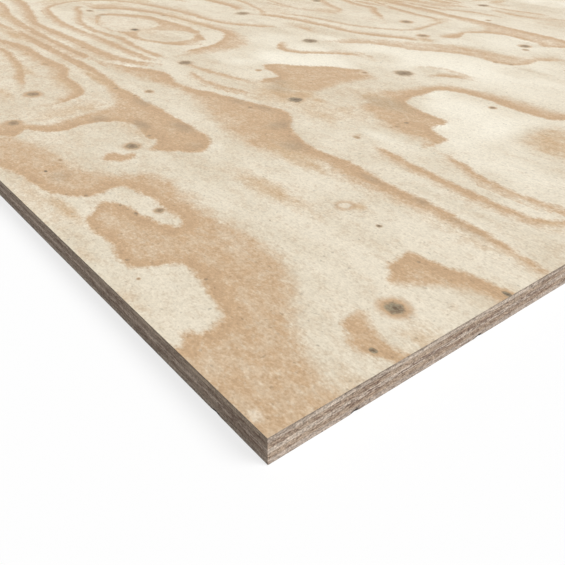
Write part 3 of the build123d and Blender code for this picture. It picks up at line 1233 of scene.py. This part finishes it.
@dataclass
class Veneer:
    """One veneer of the lay-up, modelled in place of its CAD node.

    Attributes:
        node: The CAD node's name.
        slot: The record's material slot; not used.
        edge: The finish of its sawn edges.
        face: The finish of a face that shows, or None inside the sheet.
        figure: The figure on that face.
        face_up: Whether the face that shows is the upper one.
        across: How many cells a face has across the sheet.
        along: How many it has along the sheet.
        even: How evenly wide those cells are, across and along; 1 is all alike, and less is
            narrower towards the near corner.
        rows: How many rows of faces its walls have.
        roughness: How deep the saw's marks are, in metres.
        seed: Sets this veneer's saw marks apart from the others'.
        nicks: The nicks in its lower arris.
    """

    node: str
    slot: str
    edge: SawnEdge
    face: PeeledFace | None = None
    figure: Figure | None = None
    face_up: bool = True
    across: int = 280
    along: int = 310
    even: Point = (0.75, 0.55)
    rows: int = 4
    roughness: float = 0.00025
    seed: int = 1
    nicks: tuple[Nick, ...] = ()

    def __post_init__(self) -> None:
        """Reads the CAD node's lowest and highest corners."""
        self.low, self.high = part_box(self.node)

    def build(self) -> bpy.types.Object:
        """Models the veneer, dresses it and hands it to the frame.

        Returns:
            The finished piece.
        """
        piece = self.slab()
        self.saw(piece)
        for nick in self.nicks:
            self.chip(piece, nick)
        self.map_faces(piece)
        self.dress(piece)
        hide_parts(self.node)
        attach(piece, BODY)
        return piece

    def slab(self) -> bpy.types.Object:
        """Models the plain slab, finely divided round its rim.

        Returns:
            The slab's object.
        """
        bpy.ops.object.select_all(action="DESELECT")
        if self.face is None:
            bpy.ops.mesh.primitive_plane_add(size=1.0, location=(0, 0, 0))
        else:
            bpy.ops.mesh.primitive_grid_add(x_subdivisions=self.across, y_subdivisions=self.along,
                                            size=1.0, location=(0, 0, 0))
        piece = bpy.context.object
        piece.name = self.node + "_piece"
        bpy.ops.object.mode_set(mode="EDIT")
        if self.face is None:
            bpy.ops.mesh.delete(type="ONLY_FACE")
            self.divide(piece, axis=0, cuts=self.across - 1)
            self.divide(piece, axis=1, cuts=self.along - 1)
            bpy.ops.mesh.select_all(action="SELECT")
            bpy.ops.mesh.edge_face_add()
        bpy.ops.object.mode_set(mode="OBJECT")
        bottom, top = self.low.z, self.high.z
        start, stop = (top, bottom) if self.face_up else (bottom, top)
        self.spread(piece, start)
        self.pull_walls(piece, stop - start)
        return piece

    def divide(self, piece: bpy.types.Object, axis: int, cuts: int) -> None:
        """Cuts those edges of the unit square that run along an axis into short ones.

        Args:
            piece: The square's four edges.
            axis: The axis.
            cuts: How many cuts an edge gets.
        """
        half_side = 0.5
        mesh = bmesh.from_edit_mesh(piece.data)
        for edge in mesh.edges:
            a, b = (v.co for v in edge.verts)
            edge.select_set(abs(a[axis] - b[axis]) > half_side)
        mesh.select_flush(False)
        bmesh.update_edit_mesh(piece.data)
        bpy.ops.mesh.subdivide(number_cuts=cuts)

    def spread(self, piece: bpy.types.Object, z: float) -> None:
        """Spreads the unit square over the sheet, with finer cells towards the near corner.

        Args:
            piece: The square.
            z: The height that the square comes to lie at.
        """
        co = points_of(piece.data)
        for axis, even in enumerate(self.even):
            share = co[:, axis] + 0.5
            share = even * share + (1.0 - even) * share * share
            co[:, axis] = self.low[axis] + (self.high[axis] - self.low[axis]) * share
        co[:, 2] = z
        piece.data.vertices.foreach_set("co", co.ravel())
        piece.data.update()

    def pull_walls(self, piece: bpy.types.Object, step: float) -> None:
        """Pulls the rim up or down into walls and closes the far side.

        Args:
            piece: The face.
            step: How far the walls go, negative downwards.
        """
        bpy.ops.object.mode_set(mode="EDIT")
        self.select_rim(piece)
        for _ in range(self.rows):
            bpy.ops.mesh.extrude_region_move(TRANSFORM_OT_translate={"value": (0, 0, step / self.rows)})
        bpy.ops.mesh.edge_face_add()
        bpy.ops.mesh.select_all(action="SELECT")
        bpy.ops.mesh.normals_make_consistent(inside=False)
        bpy.ops.object.mode_set(mode="OBJECT")

    def select_rim(self, piece: bpy.types.Object) -> None:
        """Selects only the edges round the face.

        Args:
            piece: The face, in edit mode.
        """
        bpy.ops.mesh.select_mode(type="EDGE")
        mesh = bmesh.from_edit_mesh(piece.data)
        for edge in mesh.edges:
            edge.select_set(edge.is_boundary)
        bmesh.update_edit_mesh(piece.data)

    def saw(self, piece: bpy.types.Object) -> None:
        """Roughens the four sawn sides, always inwards.

        Args:
            piece: The slab.
        """
        mark_size, mark_step, on_side = 0.012, 0.003, 1e-5
        marks = bpy.data.textures.new(self.node + "_saw_marks", "CLOUDS")
        marks.noise_scale = mark_size + mark_step * (self.seed % 3)
        marks.noise_depth = 3
        for side in Side:
            axis, sign = side.value
            group = piece.vertex_groups.new(name=side.name)
            edge = self.high[axis] if sign > 0 else self.low[axis]
            group.add([v.index for v in piece.data.vertices if abs(v.co[axis] - edge) < on_side],
                      1.0, "ADD")
            cut = piece.modifiers.new(side.name, "DISPLACE")
            cut.texture = marks
            cut.direction = "X" if axis == 0 else "Y"
            cut.vertex_group = side.name
            cut.mid_level = 0.0
            cut.strength = -sign * self.roughness
        bpy.context.view_layer.objects.active = piece
        for name in [modifier.name for modifier in piece.modifiers]:
            bpy.ops.object.modifier_apply(modifier=name)

    def chip(self, piece: bpy.types.Object, nick: Nick) -> None:
        """Breaks a nick out of the lower arris.

        Args:
            piece: The slab.
            nick: The nick.
        """
        taken = nick.touched(points_of(piece.data), self.low) > 0.5
        axis, sign = nick.side.value
        inwards = [0.0, 0.0, nick.lift * MM]
        inwards[axis] = -sign * nick.depth * MM
        bpy.ops.object.mode_set(mode="EDIT")
        bpy.ops.mesh.select_mode(type="VERT")
        bpy.ops.mesh.select_all(action="DESELECT")
        mesh = bmesh.from_edit_mesh(piece.data)
        for vertex in mesh.verts:
            vertex.select_set(bool(taken[vertex.index]))
        bmesh.update_edit_mesh(piece.data)
        bpy.ops.transform.translate(value=inwards)
        bpy.ops.object.mode_set(mode="OBJECT")

    def map_faces(self, piece: bpy.types.Object) -> None:
        """Lays the piece out on its map, most of it for what shows.

        Args:
            piece: The finished mesh.
        """
        mesh = piece.data
        for old in list(mesh.uv_layers):
            mesh.uv_layers.remove(old)
        layer = mesh.uv_layers.new(name=BAKE_MAP)
        wall = 0.009 if self.face else 0.23
        hidden = (0.0, 0.05) if self.face else (0.0, 0.97)
        hidden_size, gap, shown_from = (0.01, 0.004), 0.002, 0.06
        facing = 1.0 if self.face_up else -1.0
        flat = np.zeros((len(mesh.loops), 2))
        unit = (points_of(mesh) - np.array(self.low)) / np.array(self.high - self.low)
        for face in mesh.polygons:
            loops = list(face.loop_indices)
            corners = unit[[mesh.loops[i].vertex_index for i in loops]]
            normal = face.normal
            if abs(normal.z) > LEVEL:
                if self.face and normal.z * facing > 0:
                    flat[loops, 0] = corners[:, 0]
                    flat[loops, 1] = shown_from + (1.0 - shown_from) * corners[:, 1]
                else:
                    flat[loops] = hidden + corners[:, :2] * hidden_size
                continue
            axis = 0 if abs(normal.x) > abs(normal.y) else 1
            strip = 2 * axis + (1 if normal[axis] > 0 else 0)
            flat[loops, 0] = corners[:, 1 - axis]
            flat[loops, 1] = gap + strip * (wall + gap) + wall * corners[:, 2]
        layer.data.foreach_set("uv", flat.ravel())

    def dress(self, piece: bpy.types.Object) -> None:
        """Gives the piece its finishes and what they read.

        Args:
            piece: The finished mesh.
        """
        mesh = piece.data
        mesh.materials.clear()
        mesh.materials.append(self.edge.material())
        if self.face:
            mesh.materials.append(self.face.material())
            facing = 1.0 if self.face_up else -1.0
            for face in mesh.polygons:
                face.material_index = 1 if face.normal.z * facing > LEVEL else 0
            self.figure.write(mesh, self.low)
        points = points_of(mesh)
        edge = np.zeros((len(points), 3))
        edge[:, 0] = (points[:, 2] - self.low.z) / (self.high.z - self.low.z)
        # The second number marks the nicks, inside which the sawn edges get painted shade
        for nick in self.nicks:
            edge[:, 1] = np.maximum(edge[:, 1], nick.touched(points, self.low))
        store_vector(mesh, "edge", edge)


@dataclass
class PlywoodSheet:
    """The whole sheet: five veneers, lengthwise and crosswise by turns.

    Attributes:
        log: The log that the two faces were peeled from.
        back_slide: How far the back's near left corner lies from the drawn figure's.
        nicks: The nicks in the lower arris.
        pale_end: The end grain of the pale face and core.
        dark_streak: The streaks of the core and the crossbands.
        pale_streak: The streaks of the face and the back.
    """

    log: PeeledLog = PeeledLog()
    back_slide: Point = (340.0, -60.0)
    nicks: tuple[Nick, ...] = (
        Nick(Side.NEAR_END, 56.5), Nick(Side.NEAR_END, 158.5), Nick(Side.LEFT_EDGE, 44.5, depth=0.3))
    pale_end: Colour = (0.60, 0.50, 0.41)
    dark_streak: Colour = (0.225, 0.125, 0.085)
    pale_streak: Colour = (0.28, 0.19, 0.14)

    def face_edge(self) -> SawnEdge:
        """The face's sawn edge, darker along the sheet's upper arris."""
        return SawnEdge("sawn_face_veneer", end_grain=self.pale_end, side_grain=(0.515, 0.41, 0.31),
                        streak=self.pale_streak, contrast=0.55, grain=Grain.LENGTHWISE, top_arris=True)

    def crossband_edge(self) -> SawnEdge:
        """The crossbands' sawn edge."""
        return SawnEdge("sawn_crossband", end_grain=(0.39, 0.30, 0.23), side_grain=(0.47, 0.36, 0.27),
                        streak=self.dark_streak, contrast=0.65, grain=Grain.CROSSWISE)

    def core_edge(self) -> SawnEdge:
        """The core's sawn edge."""
        return SawnEdge("sawn_core_veneer", end_grain=self.pale_end, side_grain=(0.585, 0.475, 0.385),
                        streak=self.dark_streak, contrast=0.75, grain=Grain.LENGTHWISE)

    def back_edge(self) -> SawnEdge:
        """The back's sawn edge, darker along the sheet's lower arris."""
        return SawnEdge("sawn_back_veneer", end_grain=(0.51, 0.42, 0.35), side_grain=(0.56, 0.46, 0.375),
                        streak=self.pale_streak, contrast=0.55, grain=Grain.LENGTHWISE, bottom_arris=True)

    def veneers(self) -> list[Veneer]:
        """Plans the lay-up.

        Returns:
            The veneers from the top down.
        """
        cross = self.crossband_edge()
        return [
            Veneer("face_veneer", "sanded_face", self.face_edge(), PeeledFace("sanded_face"),
                   Figure(self.log), seed=1),
            Veneer("upper_crossband", "crossband", cross, seed=2),
            Veneer("core_veneer", "core", self.core_edge(), seed=3),
            Veneer("lower_crossband", "crossband", cross, seed=4),
            Veneer("back_veneer", "back_face", self.back_edge(), PeeledFace("rough_back", roughness=0.7),
                   Figure(self.log, self.back_slide), face_up=False, seed=5, nicks=self.nicks),
        ]

    def build(self) -> list[bpy.types.Object]:
        """Models and dresses every veneer, and returns the finished pieces."""
        return [veneer.build() for veneer in self.veneers()]


@dataclass
class Studio:
    """The floor, the light and the camera.

    Attributes:
        floor_size: The floor's side, in metres.
        key_strength: The key lamp's strength.
        key_from: The way towards the key lamp.
        key_softness: How wide the key lamp looks from the sheet, in degrees.
        fill_strength: The fill lamp's strength.
        fill_from: The way towards the fill lamp.
        ambient: The strength of the light from all round.
        floor_glow: How much of the floor's white stays in the shadow.
        floor_grey: The floor's colour, to everything but the camera.
        floor_drop: How far below the sheet the floor lies, in metres.
        camera_at: Where the camera stands, counted from the near top corner, in metres.
        camera_down: How far it looks down, in degrees.
        camera_turn: How far it is turned from the grain, in degrees.
        lens: Its focal length, in millimetres on a 36 mm square.
    """

    floor_size: float = 40.0
    key_strength: float = 3.15
    key_from: Triple = (0.40, -0.56, 0.725)
    key_softness: float = 35.0
    fill_strength: float = 0.42
    fill_from: Triple = (-0.75, -0.25, 0.6)
    ambient: float = 0.15
    floor_glow: float = 0.76
    floor_grey: Colour = (0.42, 0.42, 0.42)
    floor_drop: float = 0.0002
    camera_at: Triple = (-0.12678, -0.17077, 0.22605)
    camera_down: float = 33.424
    camera_turn: float = 38.457
    lens: float = 41.98

    def build(self) -> None:
        """Sets up the floor, the light and the camera."""
        self.floor()
        self.lamp("key", self.key_strength, self.key_from, self.key_softness)
        self.lamp("fill", self.fill_strength, self.fill_from, 2 * self.key_softness)
        self.world()
        self.camera()
        bpy.context.scene.view_settings.view_transform = "Standard"

    def seen(self, tree: bpy.types.NodeTree) -> bpy.types.NodeSocket:
        """Finds what the camera sees, also in gloss or through glass.

        Args:
            tree: The material or world that asks.

        Returns:
            A number that is 1 for those rays and 0 for others.
        """
        path = tree.nodes.new("ShaderNodeLightPath")
        most = path.outputs["Is Camera Ray"]
        for name in ("Is Glossy Ray", "Is Transmission Ray"):
            node = tree.nodes.new("ShaderNodeMath")
            node.operation = "MAXIMUM"
            tree.links.new(most, node.inputs[0])
            tree.links.new(path.outputs[name], node.inputs[1])
            most = node.outputs[0]
        return most

    def floor(self) -> None:
        """Lays a plain floor, white to the camera, that keeps the sheet's shadow."""
        bpy.ops.object.select_all(action="DESELECT")
        bpy.ops.mesh.primitive_plane_add(size=self.floor_size, location=(0, 0, -self.floor_drop))
        floor = bpy.context.object
        floor.name = "floor"
        n = Nodes("plain_floor")
        seen = self.seen(n.tree)
        n.feed(n.shader.inputs["Base Color"], n.mix(seen, self.floor_grey, WHITE))
        n.shader.inputs["Roughness"].default_value = 1.0
        n.shader.inputs["Specular IOR Level"].default_value = 0.0
        glowing = n.node("Emission", {}).outputs["Emission"]
        share = n.math("MULTIPLY", seen, self.floor_glow)
        both = n.node("MixShader", {0: share, 1: n.shader.outputs["BSDF"], 2: glowing})
        n.feed(n.output.inputs["Surface"], both.outputs["Shader"])
        floor.data.materials.append(n.material)
        floor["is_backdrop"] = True

    def lamp(self, name: str, strength: float, toward: Triple, softness: float) -> None:
        """Hangs a soft lamp far away.

        Args:
            name: The lamp's name.
            strength: Its strength.
            toward: The way towards it.
            softness: How wide it looks from the sheet, in degrees.
        """
        light = bpy.data.lights.new(name, "SUN")
        light.energy = strength
        light.angle = math.radians(softness)
        lamp = bpy.data.objects.new(name, light)
        bpy.context.collection.objects.link(lamp)
        lamp.rotation_euler = Vector(toward).to_track_quat("Z", "Y").to_euler()

    def world(self) -> None:
        """Surrounds the sheet with soft light, white to the camera."""
        world = bpy.data.worlds.new("studio")
        bpy.context.scene.world = world
        world.use_nodes = True
        tree = world.node_tree
        background = tree.nodes["Background"]
        background.inputs["Color"].default_value = (*WHITE, 1.0)
        strength = tree.nodes.new("ShaderNodeMapRange")
        strength.inputs["To Min"].default_value = self.ambient
        tree.links.new(self.seen(tree), strength.inputs["Value"])
        tree.links.new(strength.outputs["Result"], background.inputs["Strength"])

    def camera(self) -> None:
        """Stands the camera where the reference was taken from."""
        low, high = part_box("face_veneer")
        corner = Vector((low.x, low.y, high.z))
        data = bpy.data.cameras.new("camera")
        data.lens = self.lens
        data.sensor_width = 36.0
        data.clip_start = 0.01
        camera = bpy.data.objects.new("camera", data)
        bpy.context.collection.objects.link(camera)
        camera.location = corner + Vector(self.camera_at)
        camera.rotation_euler = (math.radians(90.0 - self.camera_down), 0.0,
                                 -math.radians(self.camera_turn))
        bpy.context.scene.camera = camera


def write_sizes() -> None:
    """Puts the CAD model's box and the visual model's into plain lists, which are then dropped."""
    boxes = {"cad": cad_box, "visual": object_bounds()}
    plain = {name: [list(corner) for corner in box] for name, box in boxes.items()}


def main() -> None:
    """Builds the sheet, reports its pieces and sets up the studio."""
    logging.basicConfig(level=logging.INFO, format="%(message)s")
    for piece in PlywoodSheet().build():
        LOG.info("built %s: %d faces", piece.name, len(piece.data.polygons))
    Studio().build()
    write_sizes()


if __name__ == "__main__":
    main()
